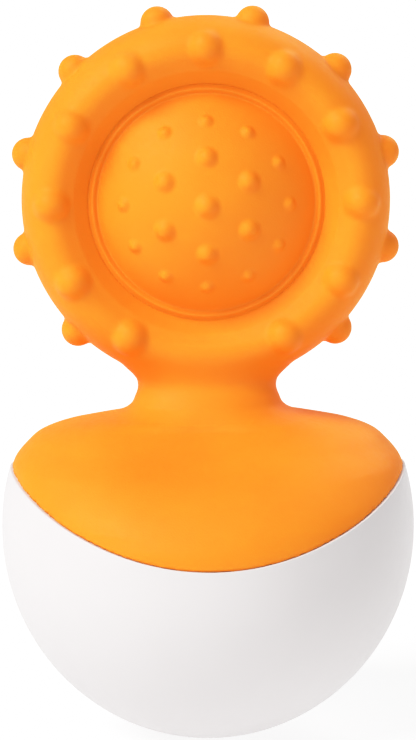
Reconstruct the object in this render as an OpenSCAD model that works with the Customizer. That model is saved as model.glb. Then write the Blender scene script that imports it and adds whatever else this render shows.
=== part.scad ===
// Roly poly toy: weighted bowl with a round bottom, soft skirt, neck and
// bumpy head ring, and a bubble that pops through the ring.
// Millimetres. Z is up, the bubble faces -Y, the floor is at z = 0.

/* [Base] */
// widest diameter of the bowl
base_d = 82.4; // [80:0.1:85]
// height of the bowl's widest level above the floor
base_c = 42.6; // [42:0.1:43.4]
// wall thickness of the bowl
base_wall = 2.4; // [2:0.1:3]
// drop of the saddle-shaped rim from its sides to its front and back
saddle_drop = 13.9; // [13.5:0.1:15]
// height of the rim at the two sides
saddle_top = 55.1; // [54.5:0.1:56]
// gap between the rim of the bowl and the skirt
reveal = 0.35; // [0.3:0.05:0.6]
// step of the skirt inside the outer surface of the bowl
recess = 0.25; // [0.2:0.05:0.6]

/* [Ballast] */
// height of the ballast's flat top above the floor
ballast_top = 18; // [15:0.5:20]
// radius of the circle that the ballast bosses stand on
boss_circle = 17; // [15:0.5:18]
// outside diameter of a ballast boss
boss_d = 7; // [6:0.5:8]

/* [Skirt and neck] */
// thickness of the soft skirt
skirt_t = 2.6; // [2.2:0.1:3]
// depth of the hollows below the neck, front and back
valley = 4; // [0:0.2:5]
// thickness of the hard deck under the skirt
deck_t = 2.2; // [1.8:0.1:2.6]
// depth of the deck's tongue inside the bowl
tongue = 5; // [3:0.5:6]
// half width of the neck stem
stem_w = 10.8; // [10:0.1:11]
// half depth of the neck stem
stem_t = 6; // [5.6:0.1:6.2]

/* [Head ring] */
// height of the middle of the head above the floor
head_z = 107.8; // [107:0.1:108.6]
// radius of the ring's middle line
ring_r = 30; // [29.6:0.1:30.4]
// half width of the ring's section, in the plane of the ring
ring_w = 6.4; // [6.2:0.1:6.6]
// half thickness of the ring's section, front to back
ring_t = 9.5; // [9:0.1:10]
// thickness of the soft skin on the ring
ring_skin = 2; // [1.8:0.1:2.2]
// wall thickness of the hard ring halves
core_wall = 1.4; // [1.2:0.1:1.5]

/* [Bumps] */
// radius of a bump on the ring's edge
edge_bump = 3.3; // [2.8:0.1:3.6]
// radius of the circle of the edge bumps
edge_circle = 36.1; // [35.6:0.1:36.6]
// radius of a bump on the ring's faces
face_bump = 3.4; // [2.8:0.1:3.6]
// radius of the circle of the face bumps
face_circle = 30.3; // [29.8:0.1:30.8]

/* [Bubble] */
// radius of the bubble at its rim
bubble_r = 21.4; // [21:0.1:21.6]
// height of the bubble above its rim
bubble_h = 9.3; // [8.5:0.1:10]
// distance of the bubble's rim in front of the ring's middle plane
rim_z = 5.2; // [4.8:0.1:5.6]
// wall thickness of the bubble
bubble_t = 1.5; // [1.2:0.1:1.8]
// radius of the part of the bubble that travels
cap_r = 12; // [11.6:0.1:12.4]

/* [Hidden] */
$fn = 96;
white = [0.94, 0.93, 0.91];
grey = [0.72, 0.72, 0.72];
iron = [0.33, 0.33, 0.35];
steel = [0.62, 0.63, 0.65];
orange = [0.98, 0.58, 0.14];

base_a = base_d / 2;
boss_top = ballast_top + 0.05;
plate_t = 2;
skin_gap = 0.1;
deck_off = skirt_t + skin_gap;
deck_top = 66;
socket_z = 58;
floor_t = 2.4;
bead_r = 28.3;
bead = 1.2;
web_t = 0.7;
screw_circle = ring_r + 1.6;
core_w = ring_w - ring_skin;
core_t = ring_t - ring_skin;
stem_top = head_z - ring_r;
sphere_r = (bubble_r * bubble_r + bubble_h * bubble_h) / (2 * bubble_h);
sphere_z = rim_z + bubble_h - sphere_r;

// levels of the skirt and neck: height, half width, half depth, squareness
LEVELS = [
    [34, 40.0, 40.0, 2.0], [38, 40.9, 41.2, 2.0], [41, 40.9, 41.8, 2.05],
    [42.4, 40.9, 41.2, 2.05], [43.8, 40.9, 40.7, 2.1], [45.5, 40.8, 40.0, 2.1],
    [47.5, 40.6, 38.8, 2.2], [50, 40.4, 36.9, 2.25], [52.5, 39.8, 34.3, 2.3],
    [54.7, 39.2, 31.4, 2.35], [56.2, 38.6, 29.0, 2.4],
    [57.7, 37.6, 26.3, 2.4], [59.5, 36.0, 22.8, 2.4], [61.3, 34.1, 19.4, 2.45],
    [62.2, 32.5, 17.7, 2.45], [63, 30.4, 16.2, 2.5], [63.6, 28.4, 15.2, 2.5],
    [64.15, 25.6, 14.6, 2.45], [64.7, 22.2, 14.1, 2.45], [65.2, 19.2, 13.5, 2.4],
    [65.8, 17.3, 12.9, 2.35], [66.5, 16.0, 12.2, 2.3], [67.6, 14.9, 11.2, 2.2],
    [69, 14.3, 10.2, 2.2], [70, 13.9, 9.5, 2.2], [71, 13.75, 8.9, 2.2],
    [72.2, 13.9, 8.6, 2.2], [73.6, 14.6, 8.5, 2.2], [75, 15.4, 8.4, 2.2],
    [77, 15.8, 8.3, 2.2]];
COLS = 60;
SEAM_COLS = 72;
// the rows of the skirt below this height follow the seam
LOW_TOP = 57.7;
LOW_ROWS = 5;

// height of the seam between the bowl and the skirt at an azimuth
function seam_z(a) = saddle_top - saddle_drop * pow(sin(a), 2);

// radius of the bowl's outer surface at a height
function bowl_r(z) = base_a * sqrt(1 - pow((z - base_c) / base_c, 2));

// point of the skirt at an azimuth and height, d millimetres inside the outer surface
function skirt_pt(a, z, d) =
    let (h = z + 0.6 * d,
         x = lookup(h, [for (L = LEVELS) [L[0], L[1]]]) - d,
         y = lookup(h, [for (L = LEVELS) [L[0], L[2]]]) - d,
         n = lookup(h, [for (L = LEVELS) [L[0], L[3]]]),
         r = pow(pow(abs(cos(a)) / x, n) + pow(abs(sin(a)) / y, n), -1 / n),
         v = valley * (0.5 - exp(-pow(r * cos(a) / 20, 2))) * exp(-pow((h - 60.5) / 4.5, 2)),
         q = min(r + v * pow(sin(a), 2), bowl_r(z) - recess - d))
    [q * cos(a), q * sin(a), z];

// closed solid of the skirt and neck, d millimetres inside the outer surface,
// from drop millimetres below the seam to the head
module skirt_solid(d, drop) {
    hi = [for (L = LEVELS) if (L[0] > LOW_TOP) L[0] - 0.6 * d];
    k = LOW_ROWS + 1 + len(hi);
    m = COLS;
    pts = concat(
        [for (i = [0 : LOW_ROWS]) for (j = [0 : m - 1])
            let (a = 360 * j / m, zb = seam_z(a) + reveal - drop, zt = LOW_TOP - 0.6 * d)
            skirt_pt(a, zb + (zt - zb) * i / LOW_ROWS, d)],
        [for (z = hi) for (j = [0 : m - 1]) skirt_pt(360 * j / m, z, d)],
        [[0, 0, 56 - drop]]);
    sides = [for (i = [0 : k - 2]) for (j = [0 : m - 1])
        let (a = i * m + j, b = i * m + (j + 1) % m)
        each [[a, a + m, b + m], [a, b + m, b]]];
    bottom = [for (j = [0 : m - 1]) [j, (j + 1) % m, k * m]];
    top = [[for (j = [0 : m - 1]) k * m - 1 - j]];
    polyhedron(points = pts, faces = concat(sides, bottom, top));
}

// ring-shaped solid between the seam, raised by d, and the level z1
module seam_ring(z1, d) {
    r0 = 22;
    r1 = base_a + 20;
    m = SEAM_COLS;
    pts = [for (j = [0 : m - 1]) let (a = 360 * j / m + 1.7, z = seam_z(a) + d)
        each [[r0 * cos(a), r0 * sin(a), z], [r1 * cos(a), r1 * sin(a), z],
              [r1 * cos(a), r1 * sin(a), z1], [r0 * cos(a), r0 * sin(a), z1]]];
    up = z1 > saddle_top;
    fs = [for (j = [0 : m - 1]) for (i = [0 : 3])
        let (a = 4 * j + i, b = 4 * j + (i + 1) % 4,
             c = 4 * ((j + 1) % m) + (i + 1) % 4, e = 4 * ((j + 1) % m) + i)
        each (up ? [[a, b, c], [a, c, e]] : [[c, b, a], [e, c, a]])];
    polyhedron(points = pts, faces = fs);
}

// everything below a level
module below(z) {
    translate([-base_d, -base_d, z - 4 * base_d]) cube([2 * base_d, 2 * base_d, 4 * base_d]);
}

// top of a rib that stands under the deck's tongue
function rib_top(a) = min(seam_z(a - 3), seam_z(a + 3)) + reveal - tongue - 0.15;

// solid of the bowl, d millimetres inside the outer surface
module bowl_solid(d) {
    translate([0, 0, base_c]) rotate_extrude($fn = 180) intersection() {
        scale([base_a - d, base_c - d]) circle(r = 1);
        translate([0, -2 * base_c]) square([2 * base_a, 4 * base_c]);
    }
}

// frame of the head: local z is the front, local y is up
module in_head() {
    translate([0, 0, head_z]) rotate([90, 0, 0]) children();
}

// place on a circle of the head, clock angle from the top
module at_clock(t, r, z) {
    translate([r * sin(t), r * cos(t), z]) children();
}

// ring with an elliptic section
module ring_solid(w, t) {
    rotate([0, 0, 7.5]) rotate_extrude($fn = 180)
        translate([ring_r, 0]) scale([w, t]) circle(r = 1);
}

// flat round-ended neck stem, grown by d
module stem_solid(z0, z1, d) {
    x = stem_w - stem_t;
    translate([0, 0, z0]) {
        translate([x, 0, 0]) cylinder(r = stem_t + d, h = z1 - z0);
        translate([-x, 0, 0]) cylinder(r = stem_t + d, h = z1 - z0);
        translate([-x, -stem_t - d, 0]) cube([2 * x, 2 * (stem_t + d), z1 - z0]);
    }
}

// pan-head screw, head down at z = 0, shank along +z
module screw(d, head_d, head_h, len) {
    translate([0, 0, -head_h]) cylinder(d = head_d, h = head_h, $fn = 48);
    translate([0, 0, -0.01]) cylinder(d = d, h = len, $fn = 48);
}

module base_shell() {
    color(white) difference() {
        union() {
            difference() {
                intersection() {
                    bowl_solid(0);
                    below(saddle_top + 4);
                }
                bowl_solid(base_wall);
                seam_ring(saddle_top + 40, 0);
            }
            // bosses for the ballast screws
            intersection() {
                for (t = [30, 150, 270]) rotate([0, 0, t]) translate([boss_circle, 0, 0])
                    cylinder(d = boss_d, h = boss_top, $fn = 48);
                bowl_solid(base_wall / 2);
            }
            // ribs that the deck's tongue stands on
            intersection() {
                for (t = [15 : 60 : 315]) rotate([0, 0, t]) translate([base_a - 7.5, -1, 24])
                    cube([7, 2, rib_top(t) - 24]);
                bowl_solid(base_wall / 2);
            }
        }
        for (t = [30, 150, 270]) rotate([0, 0, t]) translate([boss_circle, 0, boss_top - 9])
            cylinder(d = 2.4, h = 12, $fn = 48);
    }
}

module ballast() {
    color(iron) difference() {
        intersection() {
            bowl_solid(base_wall + 0.2);
            below(ballast_top);
        }
        for (t = [30, 150, 270]) rotate([0, 0, t]) translate([boss_circle, 0, -1])
            cylinder(d = boss_d + 0.6, h = 40, $fn = 48);
    }
}

module ballast_cover() {
    color(grey) translate([0, 0, boss_top + 0.05]) difference() {
        union() {
            cylinder(r = 27, h = plate_t);
            difference() {
                cylinder(r = 27, h = plate_t + 2);
                translate([0, 0, -1]) cylinder(r = 25.4, h = plate_t + 4);
            }
        }
        for (t = [30, 150, 270]) rotate([0, 0, t]) translate([boss_circle, 0, -1])
            cylinder(d = 3.4, h = 6, $fn = 48);
    }
}

module ballast_screws() {
    color(steel) for (t = [30, 150, 270]) rotate([0, 0, t])
        translate([boss_circle, 0, boss_top + plate_t + 0.1]) rotate([180, 0, 0])
            screw(2.3, 5.6, 1.8, 9.5);
}

module deck() {
    color(grey) difference() {
        union() {
            difference() {
                intersection() {
                    skirt_solid(deck_off, tongue);
                    below(deck_top);
                }
                intersection() {
                    skirt_solid(deck_off + deck_t, tongue + 3);
                    below(deck_top - 4);
                }
            }
            stem_solid(socket_z - floor_t, deck_top, 1.6);
        }
        stem_solid(socket_z, deck_top + 4, 0.1);
        for (x = [-5.4, 5.4]) for (y = [-3, 3])
            translate([x, y, socket_z - floor_t - 2]) cylinder(d = 2.8, h = 8, $fn = 48);
    }
}

// half of the hard ring and half of its stem; side is 1 in front, -1 behind
module core_half(side) {
    y0 = side > 0 ? -40 : 0.05;
    difference() {
        intersection() {
            union() {
                difference() {
                    union() {
                        in_head() ring_solid(core_w, core_t);
                        stem_solid(socket_z + 0.1, stem_top, 0);
                    }
                    in_head() ring_solid(core_w - core_wall, core_t - core_wall);
                }
                // bosses for the screws of the ring
                intersection() {
                    in_head() for (t = [30 : 60 : 330]) at_clock(t, screw_circle, -20)
                        cylinder(d = 3.6, h = 40, $fn = 48);
                    in_head() ring_solid(core_w - 0.5, core_t - 0.5);
                }
            }
            translate([-60, y0, 40]) cube([120, 39.95, 120]);
        }
        // slot and seat for the web and the bead of the bubble
        in_head() rotate_extrude($fn = 180) {
            translate([20, -web_t - 0.1]) square([bead_r - 20, 2 * web_t + 0.2]);
            translate([bead_r, 0]) circle(r = bead + 0.1, $fn = 48);
        }
        // screw holes of the ring
        in_head() for (t = [30 : 60 : 330]) at_clock(t, screw_circle, -20) {
            translate([0, 0, 0]) cylinder(d = side > 0 ? 1.6 : 2.2, h = 40 - 14.5, $fn = 48);
            translate([0, 0, -1]) cylinder(d = 3.4, h = 16.8, $fn = 48);
        }
        // screw holes of the stem
        for (x = [-5.4, 5.4]) translate([x, -3 * side, socket_z - 2])
            cylinder(d = 2.1, h = 13, $fn = 48);
    }
}

module core_front() {
    color(grey) core_half(1);
}

module core_rear() {
    color(grey) core_half(-1);
}

module core_screws() {
    color(steel) in_head() for (t = [30 : 60 : 330]) at_clock(t, screw_circle, -4.25)
        screw(1.5, 2.9, 0.95, 8.5);
}

module neck_screws() {
    color(steel) for (x = [-5.4, 5.4]) for (y = [-3, 3])
        translate([x, y, socket_z - floor_t - 0.1]) screw(2, 4.6, 1.6, 11);
}

module skin() {
    color(orange) difference() {
        union() {
            skirt_solid(0, 0);
            in_head() {
                ring_solid(ring_w, ring_t);
                for (k = [0 : 11]) if (k != 5 && k != 6)
                    at_clock(15 + 30 * k, edge_circle, 0) rotate([-90, 0, -15 - 30 * k])
                        sphere(r = edge_bump, $fn = 48);
                for (k = [0 : 11]) if (k != 6) for (s = [-1, 1])
                    at_clock(30 * k, face_circle, s * (ring_t - 1.6))
                        sphere(r = face_bump, $fn = 48);
            }
        }
        // room for the deck
        intersection() {
            skirt_solid(skirt_t, 3);
            below(deck_top + 0.1);
        }
        // room for the stem and the hard ring
        stem_solid(socket_z - 4, stem_top, 0.1);
        in_head() {
            ring_solid(core_w + 0.1, core_t + 0.1);
            // way for the web of the bubble
            rotate_extrude($fn = 180) translate([20, -web_t - 0.3])
                square([8, 2 * web_t + 0.6]);
        }
    }
}

// wall of the bubble between two radii, local frame of the head
module bubble_wall(r0, r1) {
    difference() {
        intersection() {
            translate([0, 0, sphere_z]) sphere(r = sphere_r, $fn = 180);
            translate([0, 0, rim_z - 0.3]) cylinder(r = r1, h = 40, $fn = 180);
        }
        translate([0, 0, sphere_z]) sphere(r = sphere_r - bubble_t, $fn = 180);
        if (r0 > 0) translate([0, 0, -40]) cylinder(r = r0, h = 80, $fn = 180);
    }
}

// height of the bubble's outer surface at a radius
function bubble_z(r) = sphere_z + sqrt(sphere_r * sphere_r - r * r);

module bubble_membrane() {
    color(orange) in_head() {
        bubble_wall(cap_r + 0.3, bubble_r);
        for (k = [0 : 11]) at_clock(30 * k, 16.2, bubble_z(16.2) - 0.3)
            sphere(r = 1.1, $fn = 48);
        // lip, wall, web and clamped bead
        rotate_extrude($fn = 180) {
            translate([22.3, rim_z]) circle(r = 1, $fn = 48);
            translate([20.6, rim_z - 1.5]) square([2.5, 1.5]);
            translate([21.6, -web_t]) square([1.65, rim_z + web_t]);
            translate([22, -web_t]) square([bead_r - 22, 2 * web_t]);
            translate([bead_r, 0]) circle(r = bead, $fn = 48);
        }
    }
}

module bubble_cap() {
    color(orange) in_head() {
        bubble_wall(0, cap_r);
        translate([0, 0, bubble_z(0) - 0.8]) sphere(r = 2.1, $fn = 48);
        for (k = [0 : 5]) at_clock(60 * k, 9.5, bubble_z(9.5) - 0.6)
            sphere(r = 1.8, $fn = 48);
    }
}

base_shell();
ballast();
ballast_cover();
ballast_screws();
deck();
core_front();
core_rear();
core_screws();
neck_screws();
skin();
bubble_membrane();
bubble_cap();
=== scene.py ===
"""Roly poly toy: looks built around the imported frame. Lengths in the shape code are millimetres."""

import math

import bpy
import numpy as np
from mathutils import Matrix, Vector


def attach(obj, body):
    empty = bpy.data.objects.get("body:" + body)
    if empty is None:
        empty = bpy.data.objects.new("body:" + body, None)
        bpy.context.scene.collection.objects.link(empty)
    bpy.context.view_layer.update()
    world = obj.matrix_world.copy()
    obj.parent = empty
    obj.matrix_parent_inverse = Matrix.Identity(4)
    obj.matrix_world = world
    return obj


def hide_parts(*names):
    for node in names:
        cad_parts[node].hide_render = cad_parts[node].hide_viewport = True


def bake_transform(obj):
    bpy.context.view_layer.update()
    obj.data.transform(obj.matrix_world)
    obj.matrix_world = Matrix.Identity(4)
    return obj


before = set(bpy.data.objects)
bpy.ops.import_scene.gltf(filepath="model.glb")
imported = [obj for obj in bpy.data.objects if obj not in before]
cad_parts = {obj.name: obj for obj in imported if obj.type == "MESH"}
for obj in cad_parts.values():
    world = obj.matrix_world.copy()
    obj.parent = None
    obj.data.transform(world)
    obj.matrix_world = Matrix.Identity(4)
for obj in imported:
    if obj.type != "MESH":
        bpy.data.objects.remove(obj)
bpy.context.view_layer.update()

# ---------------------------------------------------------------- sizes, as in the CAD part
A, C, WALL = 41.2, 42.6, 2.4              # bowl: half width, height of the widest level, wall
SADDLE_DROP, SADDLE_TOP = 13.9, 55.1         # saddle curve of the seam
REVEAL, RECESS = 0.12, 0.25               # gap and step between bowl and skirt
SKIRT_T, VALLEY = 2.6, 4.0
HEAD_Z, RING_R, RING_W, RING_T = 107.8, 30.0, 6.4, 9.5
RING_SKIN, WEB_T = 2.0, 0.7
STEM_W, STEM_T = 10.8, 6.0
EDGE_BUMP, EDGE_CIRCLE = 3.3, 36.1
FACE_BUMP, FACE_CIRCLE, FACE_IN = 3.4, 30.3, 1.6
BUB_R, BUB_H, BUB_T, RIM_Z = 21.4, 9.3, 1.5, 5.2
LIP_R, LIP, LIP_H, WALL_R = 22.3, 0.95, 0.55, 23.25
BEAD_R, BEAD = 28.3, 1.2
SPH_R = (BUB_R * BUB_R + BUB_H * BUB_H) / (2 * BUB_H)
SPH_Z = RIM_Z + BUB_H - SPH_R

# skirt and neck: height, half width, half depth, squareness of the plan
LEVELS = np.array([
    [34, 40.0, 40.0, 2.0], [38, 40.9, 41.2, 2.0], [41, 40.9, 41.8, 2.05],
    [42.4, 40.9, 41.2, 2.05], [43.8, 40.9, 40.7, 2.1], [45.5, 40.8, 40.0, 2.1],
    [47.5, 40.6, 38.8, 2.2], [50, 40.4, 36.9, 2.25], [52.5, 39.8, 34.3, 2.3],
    [54.7, 39.2, 31.4, 2.35], [56.2, 38.6, 29.0, 2.4],
    [57.7, 37.6, 26.3, 2.4], [59.5, 36.0, 22.8, 2.4], [61.3, 34.1, 19.4, 2.45],
    [62.2, 32.5, 17.7, 2.45], [63, 30.4, 16.2, 2.5], [63.6, 28.4, 15.2, 2.5],
    [64.15, 25.6, 14.6, 2.45], [64.7, 22.2, 14.1, 2.45], [65.2, 19.2, 13.5, 2.4],
    [65.8, 17.3, 12.9, 2.35], [66.5, 16.0, 12.2, 2.3], [67.6, 14.9, 11.2, 2.2],
    [69, 14.3, 10.2, 2.2], [70, 13.9, 9.5, 2.2], [71, 13.75, 8.9, 2.2],
    [72.2, 13.9, 8.6, 2.2], [73.6, 14.6, 8.5, 2.2], [75, 15.4, 8.4, 2.2],
    [77, 15.8, 8.3, 2.2]])


def pchip(x, y, xq):
    """Monotone cubic curve through the points."""
    h = np.diff(x)
    d = np.diff(y) / h
    m = np.zeros_like(y)
    w1, w2 = 2 * h[1:] + h[:-1], h[1:] + 2 * h[:-1]
    same = d[:-1] * d[1:] > 0
    with np.errstate(divide="ignore", invalid="ignore"):
        hm = (w1 + w2) / (w1 / d[:-1] + w2 / d[1:])
    m[1:-1] = np.where(same, hm, 0)
    m[0], m[-1] = d[0], d[-1]
    i = np.clip(np.searchsorted(x, xq) - 1, 0, len(x) - 2)
    t = np.clip((xq - x[i]) / h[i], 0, 1)
    return ((1 + 2 * t) * (1 - t) ** 2 * y[i] + t * (1 - t) ** 2 * h[i] * m[i]
            + t * t * (3 - 2 * t) * y[i + 1] + t * t * (t - 1) * h[i] * m[i + 1])


TAB_Z = np.arange(28.0, 84.0, 0.02)
TAB = [pchip(LEVELS[:, 0], LEVELS[:, k], TAB_Z) for k in (1, 2, 3)]


def smin(a, b, k):
    """Smooth union: the smaller of two distances, rounded over k."""
    h = np.maximum(k - np.abs(a - b), 0) / k
    return np.minimum(a, b) - h * h * k * 0.25


def smax(a, b, k):
    return -smin(-a, -b, k)


def seam_z(az):
    """Height of the seam between bowl and skirt at an azimuth."""
    return SADDLE_TOP - SADDLE_DROP * np.sin(az) ** 2


def bowl_r(z):
    return A * np.sqrt(np.maximum(1e-6, 1 - ((z - C) / C) ** 2))


def skirt_r(ca, sa, z, d):
    """Radius of the skirt and neck at an azimuth (cosine, sine) and height, d inside the outer surface."""
    h = z + 0.6 * d
    x, y, n = (np.interp(h, TAB_Z, t) for t in TAB)
    r = ((np.abs(ca) / (x - d)) ** n + (np.abs(sa) / (y - d)) ** n) ** (-1 / n)
    v = VALLEY * (0.5 - np.exp(-(r * ca / 20) ** 2)) * np.exp(-((h - 60.5) / 4.5) ** 2)
    return smin(r + v * sa * sa, bowl_r(z) - RECESS - d, 0.5)


def ellipse_d(u, v, a, b):
    """Distance to an ellipse, first order."""
    k0 = np.sqrt((u / a) ** 2 + (v / b) ** 2)
    k1 = np.sqrt((u / (a * a)) ** 2 + (v / (b * b)) ** 2)
    return k0 * (k0 - 1) / np.maximum(k1, 1e-9)


def head_d(x, y, z):
    """Head ring with its bumps: distance, with u right, v up, w to the front."""
    u, v, w = x, z - HEAD_Z, -y
    rho = np.sqrt(u * u + v * v)
    th = np.degrees(np.arctan2(u, v))
    ring = ellipse_d(rho - RING_R, w, RING_W, RING_T)
    # slope from the crest of the ring down to the lip of the bubble
    wall = 23.29 - 0.14 * np.clip((np.abs(w) - RIM_Z + 1.2) / 0.6, 0, 1)
    slope = (np.abs(w) - RIM_Z - 0.2 - 0.76 * (rho - 23.29)) / math.sqrt(1 + 0.76 ** 2)
    slope = np.maximum(smax(slope, wall - rho, 0.25), np.maximum(rho - RING_R, np.abs(w) - 7.6))
    ring = smin(ring, slope, 1.5)
    k = np.floor(th / 30)
    dt = np.radians(th - (30 * k + 15))
    edge = np.sqrt((rho * np.cos(dt) - EDGE_CIRCLE) ** 2 + (rho * np.sin(dt)) ** 2 + w * w) - EDGE_BUMP
    edge = np.where(np.abs(th) > 150, 9.0, edge)
    k = np.round(th / 30)
    dt = np.radians(th - 30 * k)
    face = np.sqrt((rho * np.cos(dt) - FACE_CIRCLE) ** 2 + (rho * np.sin(dt)) ** 2
                   + (np.abs(w) - (RING_T - FACE_IN)) ** 2) - FACE_BUMP
    face = np.where(np.abs(th) > 165, 9.0, face)
    return smin(smin(ring, edge, 0.8), face, 0.9), rho, w


def skin_d(p):
    """Silicone skin: head ring, neck and skirt with the room for the hard parts taken out."""
    x, y, z = p[:, 0], p[:, 1], p[:, 2]
    head, rho, w = head_d(x, y, z)
    q = np.sqrt(x * x + y * y)
    s = np.maximum(q, 1e-6)
    ca, sa = np.where(q > 1e-6, x / s, 1.0), y / s
    r0 = skirt_r(ca, sa, z, 0.0)
    rz = (skirt_r(ca, sa, z + 0.05, 0.0) - skirt_r(ca, sa, z - 0.05, 0.0)) / 0.1
    neck = (q - r0) / np.sqrt(1 + rz * rz)
    neck = smax(neck, z - 79.0, 1.0)
    body = smin(head, neck, 2.4)
    az = np.arctan2(y, x)
    body = np.where(z < 60, smax(body, seam_z(az) + REVEAL - z, 0.25), body)
    # room inside
    core = ellipse_d(rho - RING_R, w, RING_W - RING_SKIN + 0.1, RING_T - RING_SKIN + 0.1)
    slot = np.maximum(np.abs(w) - WEB_T - 0.3, rho - 28.0)
    sx = STEM_W - STEM_T
    stem = np.sqrt(np.maximum(np.abs(x) - sx, 0) ** 2 + y * y) - STEM_T - 0.1
    stem = np.maximum(stem, np.maximum(54 - z, z - (HEAD_Z - RING_R)))
    room = np.maximum(q - skirt_r(ca, sa, z, SKIRT_T), z - 66.1)
    cav = np.minimum(np.minimum(core, slot), np.minimum(stem, room))
    return np.maximum(body, -cav)


# ---------------------------------------------------------------- mesh helpers
def new_mesh(name, verts_mm, faces, smooth=True):
    """Object from points in millimetres and an array of quads or list of faces."""
    me = bpy.data.meshes.new(name)
    v = np.asarray(verts_mm, float) * 0.001
    if isinstance(faces, np.ndarray):
        k = faces.shape[1]
        n = len(faces)
        me.vertices.add(len(v))
        me.vertices.foreach_set("co", v.astype(np.float32).ravel())
        me.loops.add(n * k)
        me.loops.foreach_set("vertex_index", faces.astype(np.int32).ravel())
        me.polygons.add(n)
        me.polygons.foreach_set("loop_start", np.arange(0, n * k, k, dtype=np.int32))
        me.update(calc_edges=True)
    else:
        me.from_pydata([tuple(c) for c in v], [], [list(map(int, f)) for f in faces])
    me.validate()
    me.update()
    if smooth:
        me.polygons.foreach_set("use_smooth", np.ones(len(me.polygons), bool))
    ob = bpy.data.objects.new(name, me)
    bpy.context.scene.collection.objects.link(ob)
    return ob


def in_chunks(fn, p, n=400000):
    return np.concatenate([fn(p[i:i + n]) for i in range(0, len(p), n)])


def surface_net(fn, lo, hi, h, live):
    """Quads on the zero level of fn over a box, one point for each cell that it crosses."""
    ax = [np.arange(lo[i], hi[i] + h * 0.5, h) for i in range(3)]
    nx, ny, nz = (len(a) for a in ax)
    F = np.full((nx, ny, nz), 9.0, np.float32)
    X, Y = np.meshgrid(ax[0], ax[1], indexing="ij")
    for k, zz in enumerate(ax[2]):
        m = live(X, Y, zz)
        pts = np.stack([X[m], Y[m], np.full(int(m.sum()), zz)], 1)
        if len(pts):
            F[:, :, k][m] = fn(pts)
    for _ in range(4):                            # no cell side has its two inside corners on a diagonal
        for a in range(3):
            G = np.moveaxis(F, a, 0)
            V = G < 0
            twist = (V[:, :-1, :-1] == V[:, 1:, 1:]) & (V[:, :-1, 1:] == V[:, 1:, :-1]) & (V[:, :-1, :-1] != V[:, :-1, 1:])
            for i, j, k in np.argwhere(twist):
                q = min([(i, j, k), (i, j + 1, k + 1), (i, j, k + 1), (i, j + 1, k)], key=lambda c: abs(G[c]))
                G[q] = 0.01 if G[q] < 0 else -0.01
    S = F < 0
    cnt = np.zeros((nx - 1, ny - 1, nz - 1), np.int8)
    for i in (0, 1):
        for j in (0, 1):
            for k in (0, 1):
                cnt += S[i:nx - 1 + i, j:ny - 1 + j, k:nz - 1 + k]
    cells = np.argwhere((cnt > 0) & (cnt < 8))
    idx = np.full(cnt.shape, -1, np.int64)
    idx[tuple(cells.T)] = np.arange(len(cells))
    acc, num = np.zeros((len(cells), 3)), np.zeros(len(cells))
    for a in range(3):
        for o1 in (0, 1):
            for o2 in (0, 1):
                off = np.zeros(3, int)
                off[(a + 1) % 3], off[(a + 2) % 3] = o1, o2
                c0 = cells + off
                c1 = c0.copy()
                c1[:, a] += 1
                f0, f1 = F[tuple(c0.T)], F[tuple(c1.T)]
                cross = (f0 < 0) != (f1 < 0)
                t = np.where(cross, f0 / np.where(cross, f0 - f1, 1), 0)
                pos = c0.astype(float)
                pos[:, a] += t
                acc += pos * cross[:, None]
                num += cross
    verts = acc / num[:, None] * h + np.array(lo)
    quads = []
    for a in range(3):
        b, c = (a + 1) % 3, (a + 2) % 3
        sl0 = [slice(None)] * 3
        sl1 = [slice(None)] * 3
        sl0[a], sl1[a] = slice(0, -1), slice(1, None)
        s0, s1 = S[tuple(sl0)], S[tuple(sl1)]
        e = np.argwhere(s0 != s1)
        ok = (e[:, b] > 0) & (e[:, c] > 0) & (e[:, b] < S.shape[b] - 1) & (e[:, c] < S.shape[c] - 1)
        e = e[ok]
        inside_first = s0[tuple(e.T)]

        def cell(db, dc):
            q = e.copy()
            q[:, b] -= db
            q[:, c] -= dc
            return idx[tuple(q.T)]

        ring = np.stack([cell(1, 1), cell(0, 1), cell(0, 0), cell(1, 0)], 1)
        ring[~inside_first] = ring[~inside_first][:, ::-1]
        quads.append(ring)
    return verts, np.concatenate(quads)


def gradient(fn, p, e=0.04):
    g = np.zeros_like(p)
    for i in range(3):
        d = np.zeros(3)
        d[i] = e
        g[:, i] = (in_chunks(fn, p + d) - in_chunks(fn, p - d)) / (2 * e)
    return g


def settle(fn, p, steps=4, cap=0.25):
    """Moves points onto the zero level of fn."""
    for _ in range(steps):
        f = in_chunks(fn, p)
        g = gradient(fn, p)
        s = -(f / np.maximum((g * g).sum(1), 0.25))[:, None] * g
        n = np.linalg.norm(s, axis=1, keepdims=True)
        p = p + s * np.minimum(1, cap / np.maximum(n, 1e-9))
    return p


def revolve_grid(rows, wrap):
    """Quads between rows of equal length; each row is closed round."""
    n, m = rows, wrap
    i = np.arange(n - 1)[:, None]
    j = np.arange(m)[None, :]
    a = i * m + j
    b = i * m + (j + 1) % m
    return np.stack([a, b, b + m, a + m], -1).reshape(-1, 4)


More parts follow.
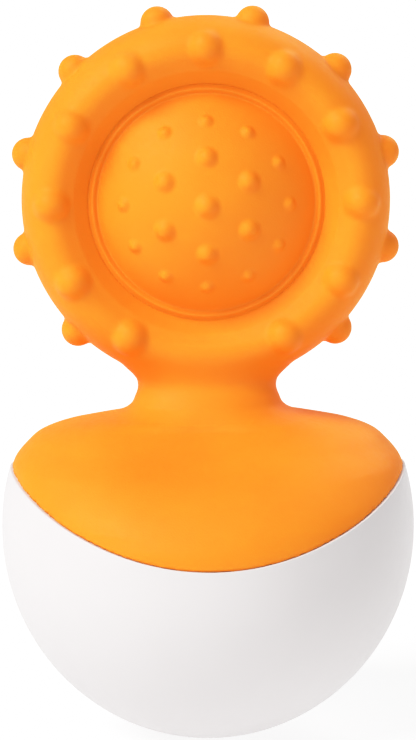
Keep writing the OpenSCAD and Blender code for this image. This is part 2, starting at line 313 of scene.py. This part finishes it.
# ---------------------------------------------------------------- bowl
def make_bowl():
    m, n_out, n_in = 288, 110, 60
    az = np.arange(m) / m * 2 * np.pi
    zs = seam_z(az)
    rho = 0.25
    rows = []

    def put(r, z):
        rows.append(np.stack([r * np.cos(az), r * np.sin(az), z * np.ones(m)], 1))

    ze = zs - rho * 0.75
    te = np.arcsin((ze - C) / C)
    for i in range(1, n_out + 1):
        t = -np.pi / 2 + (te + np.pi / 2) * i / n_out
        put(A * np.cos(t), C + C * np.sin(t))
    # rounded outer edge of the rim
    nr, nz = np.cos(te) / A, np.sin(te) / C
    ln = np.sqrt(nr * nr + nz * nz)
    b0 = np.arctan2(nz / ln, nr / ln)
    cr, cz = A * np.cos(te) - rho * np.cos(b0), ze - rho * np.sin(b0)
    for i in range(1, 9):
        b = b0 + (np.pi / 2 - b0) * i / 8
        put(cr + rho * np.cos(b), cz + rho * np.sin(b))
    top = cz + rho
    ai, ci = A - WALL, C - WALL
    ri = ai * np.sqrt(1 - ((top - 0.3 - C) / ci) ** 2)
    put((cr + ri + 0.3) / 2, top)
    for i in range(5):
        b = np.pi / 2 + np.pi / 2 * i / 4
        put(ri + 0.3 + 0.3 * np.cos(b), top - 0.3 + 0.3 * np.sin(b))
    ti = np.arcsin(np.clip((top - 0.3 - C) / ci, -1, 1))
    for i in range(1, n_in):
        t = ti + (-np.pi / 2 - ti) * i / n_in
        put(ai * np.cos(t), C + ci * np.sin(t))
    v = np.concatenate(rows)
    quads = revolve_grid(len(rows), m)
    k = len(v)
    v = np.concatenate([v, [[0, 0, 0], [0, 0, C - ci]]])
    j = np.arange(m)
    last = (len(rows) - 1) * m
    faces = [tuple(q) for q in quads]
    faces += [(k, (b + 1) % m, b) for b in j]
    faces += [(last + b, last + (b + 1) % m, k + 1) for b in j]
    return new_mesh("bowl", v, faces)


# ---------------------------------------------------------------- bubble
def bubble_front_d(p):
    """Front of the dome with its bumps, in the head's frame: u right, v up, w to the front."""
    u, v, w = p[:, 0], p[:, 1], p[:, 2]
    f = np.sqrt(u * u + v * v + (w - SPH_Z) ** 2) - SPH_R
    th = np.degrees(np.arctan2(u, v))
    r = np.sqrt(u * u + v * v)

    def top(q):
        return SPH_Z + math.sqrt(SPH_R * SPH_R - q * q)

    def nub(step, circle, radius, sink):
        dt = np.radians(th - step * np.round(th / step))
        nz = (top(circle) - SPH_Z) / SPH_R
        c, h = circle - sink * circle / SPH_R, top(circle) - sink * nz
        return np.sqrt((r * np.cos(dt) - c) ** 2 + (r * np.sin(dt)) ** 2 + (w - h) ** 2) - radius

    centre = np.sqrt(r * r + (w - (top(0) - 0.9)) ** 2) - 2.2
    f = smin(f, centre, 0.9)
    f = smin(f, nub(60, 9.5, 1.95, 0.8), 0.8)
    f = smin(f, nub(30, 16.2, 1.25, 0.55), 0.6)
    return f


def build_bubble():
    """Dome with its bumps, lip, web and bead as one closed skin, and how far each point goes when it pops."""
    m, n_dome = 288, 120
    th = np.arange(m) / m * 2 * np.pi
    st, ct = np.sin(th), np.cos(th)
    rows = []

    def ring(r, w):
        rows.append(np.stack([r * st, r * ct, np.full(m, w)], 1))

    def arc(r0, rad, b0, b1, n, first=1):
        for i in range(first, n + 1):
            b = b0 + (b1 - b0) * i / n
            ring(r0 + rad * math.cos(b), rad * math.sin(b))

    c = np.array([0, 0, SPH_Z])
    a_end = math.asin(21.17 / SPH_R)
    for i in range(1, n_dome + 1):                # front of the dome, from the axis outwards
        a = a_end * i / n_dome
        d = np.stack([st * math.sin(a), ct * math.sin(a), np.full(m, math.cos(a))], 1)
        t = np.full(m, SPH_R + 3.0)
        for _ in range(40):
            t = t - 0.9 * bubble_front_d(c + d * t[:, None])
        rows.append(c + d * t[:, None])
    e0 = math.asin(WEB_T / BEAD)
    for i in range(1, 21):                        # lip, a low swell round the dome
        q = -1 + 2 * i / 20
        ring(LIP_R + LIP * q, RIM_Z + 0.08 + LIP_H * 0.5 * (1 + math.cos(math.pi * q)))
    ring(WALL_R, RIM_Z - 0.5)                     # wall, web and bead
    ring(WALL_R, WEB_T + 0.2)
    ring(WALL_R + 0.2, WEB_T)
    arc(BEAD_R, BEAD, math.pi - e0, e0 - math.pi, 24, 0)
    ring(22.4, -WEB_T)
    ring(21.6, -WEB_T + 0.5)
    ring(21.6, 3.0)
    ri = SPH_R - BUB_T
    a_in = math.asin(20.2 / ri)
    for i in range(70):                           # back of the dome, to the axis
        a = a_in * (1 - i / 70)
        ring(ri * math.sin(a), SPH_Z + ri * math.cos(a))
    v = np.concatenate(rows)
    k = len(v)
    v = np.concatenate([v, [[0, 0, bubble_tip()], [0, 0, SPH_Z + ri]]])
    last = (len(rows) - 1) * m
    faces = [tuple(x) for x in revolve_grid(len(rows), m)]
    faces += [(k, (b + 1) % m, b) for b in range(m)]
    faces += [(last + b, last + (b + 1) % m, k + 1) for b in range(m)]
    ob = new_mesh("bubble", np.stack([v[:, 0], -v[:, 2], v[:, 1] + HEAD_Z], 1), faces)
    r = np.hypot(v[:, 0], v[:, 1])
    mid_r = SPH_R - BUB_T / 2
    depth = np.sqrt(np.maximum(mid_r ** 2 - np.minimum(r, 20.9) ** 2, 0)) - math.sqrt(mid_r ** 2 - 20.9 ** 2)
    return ob, depth / (mid_r - math.sqrt(mid_r ** 2 - 20.9 ** 2))


def bubble_tip():
    t = SPH_R + 3.0
    for _ in range(60):
        t -= 0.9 * float(bubble_front_d(np.array([[0, 0, SPH_Z + t]]))[0])
    return SPH_Z + t


# ---------------------------------------------------------------- materials
def material(name):
    mat = bpy.data.materials.new(name)
    mat.use_nodes = True
    nt = mat.node_tree
    bsdf = nt.nodes["Principled BSDF"]
    co = nt.nodes.new("ShaderNodeTexCoord")
    return mat, nt, bsdf, co.outputs["Object"]


def noise(nt, co, scale, detail=3.0, rough=0.5):
    n = nt.nodes.new("ShaderNodeTexNoise")
    n.inputs["Scale"].default_value = scale
    n.inputs["Detail"].default_value = detail
    n.inputs["Roughness"].default_value = rough
    nt.links.new(co, n.inputs["Vector"])
    return n.outputs["Fac"]


def ramp(nt, fac, stops):
    r = nt.nodes.new("ShaderNodeValToRGB")
    e = r.color_ramp.elements
    e[0].position, e[0].color = stops[0][0], stops[0][1]
    e[1].position, e[1].color = stops[-1][0], stops[-1][1]
    for p, c in stops[1:-1]:
        x = e.new(p)
        x.color = c
    nt.links.new(fac, r.inputs["Fac"])
    return r.outputs["Color"]


def span(nt, fac, lo, hi):
    m = nt.nodes.new("ShaderNodeMapRange")
    m.inputs["From Min"].default_value, m.inputs["From Max"].default_value = 0.3, 0.7
    m.inputs["To Min"].default_value, m.inputs["To Max"].default_value = lo, hi
    nt.links.new(fac, m.inputs["Value"])
    return m.outputs["Result"]


def bump(nt, bsdf, height, strength, dist):
    b = nt.nodes.new("ShaderNodeBump")
    b.inputs["Strength"].default_value = strength
    b.inputs["Distance"].default_value = dist
    nt.links.new(height, b.inputs["Height"])
    nt.links.new(b.outputs["Normal"], bsdf.inputs["Normal"])


def rgba(r, g, b):
    return (r, g, b, 1.0)


def silicone():
    mat, nt, bsdf, co = material("orange_silicone")
    col = ramp(nt, noise(nt, co, 60, 4), [(0.3, rgba(0.95, 0.298, 0.017)), (0.7, rgba(0.98, 0.321, 0.021))])
    nt.links.new(col, bsdf.inputs["Base Color"])
    nt.links.new(span(nt, noise(nt, co, 900, 3), 0.5, 0.62), bsdf.inputs["Roughness"])
    bsdf.inputs["Specular IOR Level"].default_value = 0.17
    bsdf.inputs["Subsurface Weight"].default_value = 0.15
    bsdf.inputs["Subsurface Radius"].default_value = (1.0, 0.35, 0.08)
    bsdf.inputs["Subsurface Scale"].default_value = 0.003
    bump(nt, bsdf, noise(nt, co, 2600, 2), 0.12, 0.0002)
    return mat


def plastic(name, lo, hi, rough_lo, rough_hi):
    mat, nt, bsdf, co = material(name)
    nt.links.new(ramp(nt, noise(nt, co, 45, 4), [(0.3, lo), (0.7, hi)]), bsdf.inputs["Base Color"])
    nt.links.new(span(nt, noise(nt, co, 700, 3), rough_lo, rough_hi), bsdf.inputs["Roughness"])
    bump(nt, bsdf, noise(nt, co, 3200, 2), 0.06, 0.0001)
    return mat


def iron():
    mat, nt, bsdf, co = material("cast_iron")
    col = ramp(nt, noise(nt, co, 180, 6, 0.65), [(0.25, rgba(0.035, 0.034, 0.034)), (0.6, rgba(0.075, 0.073, 0.072)), (0.8, rgba(0.1, 0.07, 0.05))])
    nt.links.new(col, bsdf.inputs["Base Color"])
    bsdf.inputs["Metallic"].default_value = 0.8
    nt.links.new(span(nt, noise(nt, co, 400, 4), 0.55, 0.8), bsdf.inputs["Roughness"])
    bump(nt, bsdf, noise(nt, co, 900, 5, 0.6), 0.5, 0.0004)
    return mat


def steel():
    mat, nt, bsdf, co = material("screw_steel")
    col = ramp(nt, noise(nt, co, 300, 4), [(0.3, rgba(0.5, 0.51, 0.53)), (0.7, rgba(0.62, 0.63, 0.64))])
    nt.links.new(col, bsdf.inputs["Base Color"])
    bsdf.inputs["Metallic"].default_value = 1.0
    nt.links.new(span(nt, noise(nt, co, 1500, 3), 0.22, 0.38), bsdf.inputs["Roughness"])
    bump(nt, bsdf, noise(nt, co, 4000, 2), 0.08, 0.0001)
    return mat


def wear(ob, mat):
    ob.data.materials.clear()
    ob.data.materials.append(mat)


# ---------------------------------------------------------------- pieces
silicone_mat = silicone()
white_mat = plastic("white_plastic", rgba(0.712, 0.682, 0.681), rgba(0.732, 0.702, 0.701), 0.38, 0.5)
grey_mat = plastic("grey_plastic", rgba(0.42, 0.42, 0.43), rgba(0.5, 0.5, 0.5), 0.45, 0.6)
iron_mat = iron()
steel_mat = steel()

bowl = make_bowl()
wear(bowl, white_mat)
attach(bowl, "toy")
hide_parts("base_shell")

H = 0.5
sv, sq = surface_net(skin_d, (-42.25, -42.25, 40.25), (42.25, 42.25, 148.25), H,
                     lambda X, Y, z: np.ones_like(X, bool) if z < 72 else np.abs(Y) < 13.5)
sv = settle(skin_d, sv)
skin = new_mesh("silicone_skin", sv, sq)
wear(skin, silicone_mat)
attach(skin, "toy")
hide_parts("skin")

bubble, weight = build_bubble()
wear(bubble, silicone_mat)
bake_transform(bubble)
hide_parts("bubble_cap", "bubble_membrane")

for n in ("ballast_cover", "deck", "core_front", "core_rear"):
    wear(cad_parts[n], grey_mat)
wear(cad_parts["ballast"], iron_mat)
for n in ("ballast_screws", "core_screws", "neck_screws"):
    wear(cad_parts[n], steel_mat)

# ---------------------------------------------------------------- floor, light, camera
fm = bpy.data.meshes.new("floor")
fm.from_pydata([(-9, -9, 0), (9, -9, 0), (9, 9, 0), (-9, 9, 0)], [], [(0, 1, 2, 3)])
floor = bpy.data.objects.new("floor", fm)
bpy.context.scene.collection.objects.link(floor)
fmat, fnt, fb, fco = material("floor_pale")
fnt.links.new(ramp(fnt, noise(fnt, fco, 3, 3), [(0.3, rgba(0.35, 0.35, 0.35)), (0.7, rgba(0.36, 0.36, 0.36))]), fb.inputs["Base Color"])
fb.inputs["Roughness"].default_value = 0.9
fb.inputs["Emission Color"].default_value = (1, 1, 1, 1)
fb.inputs["Emission Strength"].default_value = 0.76
fb.inputs["Specular IOR Level"].default_value = 0.1
wear(floor, fmat)

world = bpy.data.worlds.new("studio")
bpy.context.scene.world = world
world.use_nodes = True
bg = world.node_tree.nodes["Background"]
bg.inputs["Color"].default_value = (1, 1, 1, 1)
bg.inputs["Strength"].default_value = 0.45

sun_d = bpy.data.lights.new("key", "SUN")
sun_d.energy = 2.6
sun_d.angle = math.radians(36)
sun = bpy.data.objects.new("key", sun_d)
sun.rotation_mode = "QUATERNION"
sun.rotation_quaternion = Vector((0.57, 0.46, -0.68)).to_track_quat("-Z", "Y")
sun.location = (-1.14, -0.92, 1.36)
bpy.context.scene.collection.objects.link(sun)

rim_d = bpy.data.lights.new("rim", "SUN")
rim_d.energy = 1.0
rim_d.angle = math.radians(40)
rim = bpy.data.objects.new("rim", rim_d)
rim.rotation_mode = "QUATERNION"
rim.rotation_quaternion = Vector((-0.45, -0.60, -0.66)).to_track_quat("-Z", "Y")
rim.location = (0.9, 1.2, 1.32)
bpy.context.scene.collection.objects.link(rim)

cam_d = bpy.data.cameras.new("camera")
cam = bpy.data.objects.new("camera", cam_d)
bpy.context.scene.collection.objects.link(cam)
bpy.context.scene.camera = cam
ELEV, AZIM, DIST, FPX, AIM_Z, ROLL, AIM_X = 8.2, -1.0, 0.650, 3266.0, 0.0739, -0.36, 0.0002
e, az = math.radians(ELEV), math.radians(AZIM)
back = Vector((math.sin(az) * math.cos(e), -math.cos(az) * math.cos(e), math.sin(e)))
cam.location = Vector((AIM_X, 0, AIM_Z)) + back * DIST
rot = (-back).to_track_quat("-Z", "Y").to_matrix().to_4x4()
cam.matrix_world = Matrix.Translation(cam.location) @ rot @ Matrix.Rotation(math.radians(ROLL), 4, "Z")
cam_d.sensor_width = 36.0
cam_d.lens = FPX / 740.0 * 36.0
cam_d.clip_start, cam_d.clip_end = 0.01, 40.0

# the camera's contrast curve: deeper shade, soft shoulder in the whites
view = bpy.context.scene.view_settings
view.view_transform = "Standard"
view.use_curve_mapping = True
tone = view.curve_mapping
tone.white_level = (1.25, 1.25, 1.25)
TONE = [(0.0, 0.0), (1.25, 1.0), (0.1, 0.075), (0.2, 0.155), (0.29, 0.235), (0.42, 0.413), (0.55, 0.565), (0.68, 0.7), (0.85, 0.845), (1.0, 0.94), (1.1, 0.99), (1.15, 1.0)]
points = tone.curves[3].points
for i, (x, y) in enumerate(TONE):
    if i < 2:
        points[i].location = x / 1.25, y
    else:
        points.new(x / 1.25, y)
for p in points:
    p.handle_type = "AUTO_CLAMPED"
tone.update()
